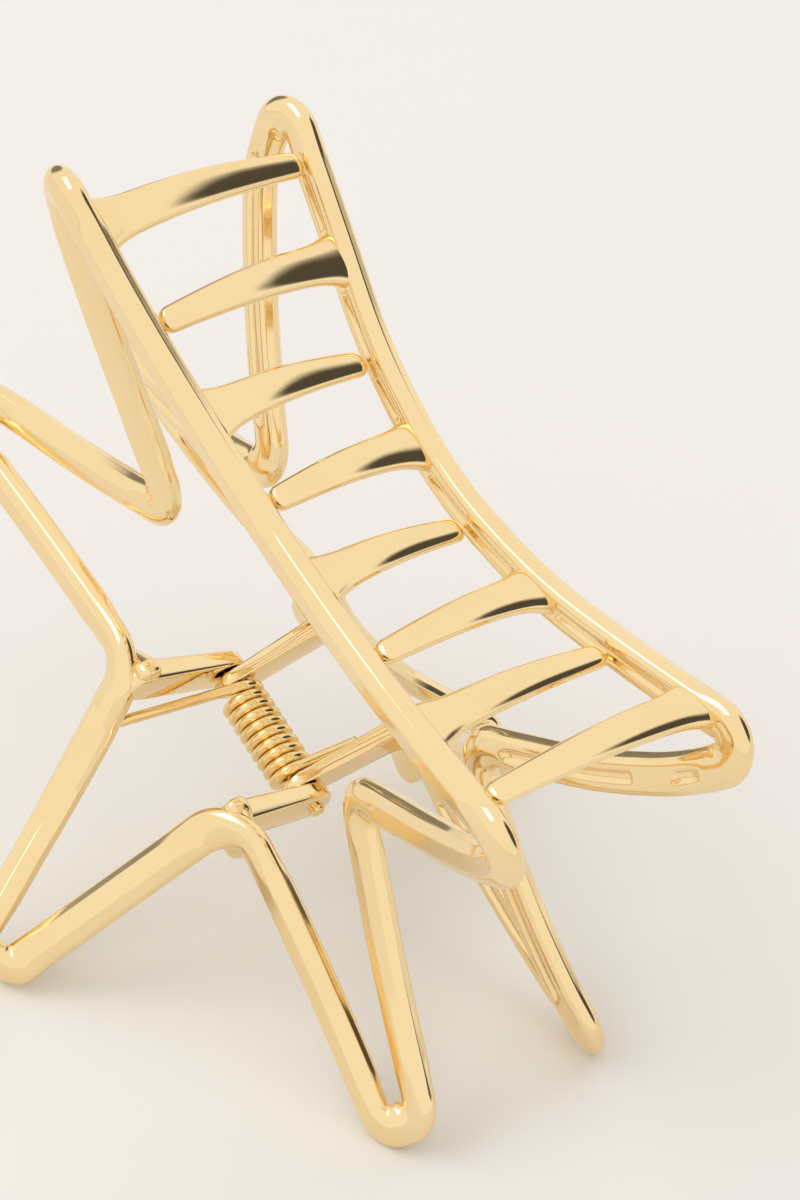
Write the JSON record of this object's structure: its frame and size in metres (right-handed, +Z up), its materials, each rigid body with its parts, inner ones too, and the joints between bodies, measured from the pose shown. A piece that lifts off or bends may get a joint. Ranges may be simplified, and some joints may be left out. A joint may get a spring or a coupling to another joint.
{
  "type": "claw hair clip",
  "caption": "Polished gold metal claw clip: two open star-shaped jaws with long curved teeth that interleave, joined by a sprung hinge pin.",
  "frame": {"origin": "on the surface the clip stands on, under the middle of its footprint box", "axes": "+Z up as the clip stands on its two handle tips and two front points; +Y towards the raised rear end of the hinge pin; +X from the left jaw to the right jaw"},
  "size_m": [0.064, 0.0954, 0.0786],
  "materials": {
    "plated_casting": "mirror-polished zinc alloy die casting with thin pale gold plating",
    "plated_pin": "gold-plated steel wire pin",
    "plated_spring_wire": "gold-plated spring steel wire"
  },
  "bodies": {
    "left_half": {"left_jaw": "plated_casting", "hinge_pin": "plated_pin", "torsion_spring": "plated_spring_wire"},
    "right_half": {"right_jaw": "plated_casting"}
  },
  "joints": [
    {"name": "jaw_hinge", "type": "hinge", "parent": "left_half", "child": "right_half", "pos_m": [0, 0.00729, 0.01862], "axis": [0, 0.9171, 0.3987], "range_deg": [0, 60], "stiffness_Nm_per_rad": 0.2, "springref_deg": -34.38}
  ]
}
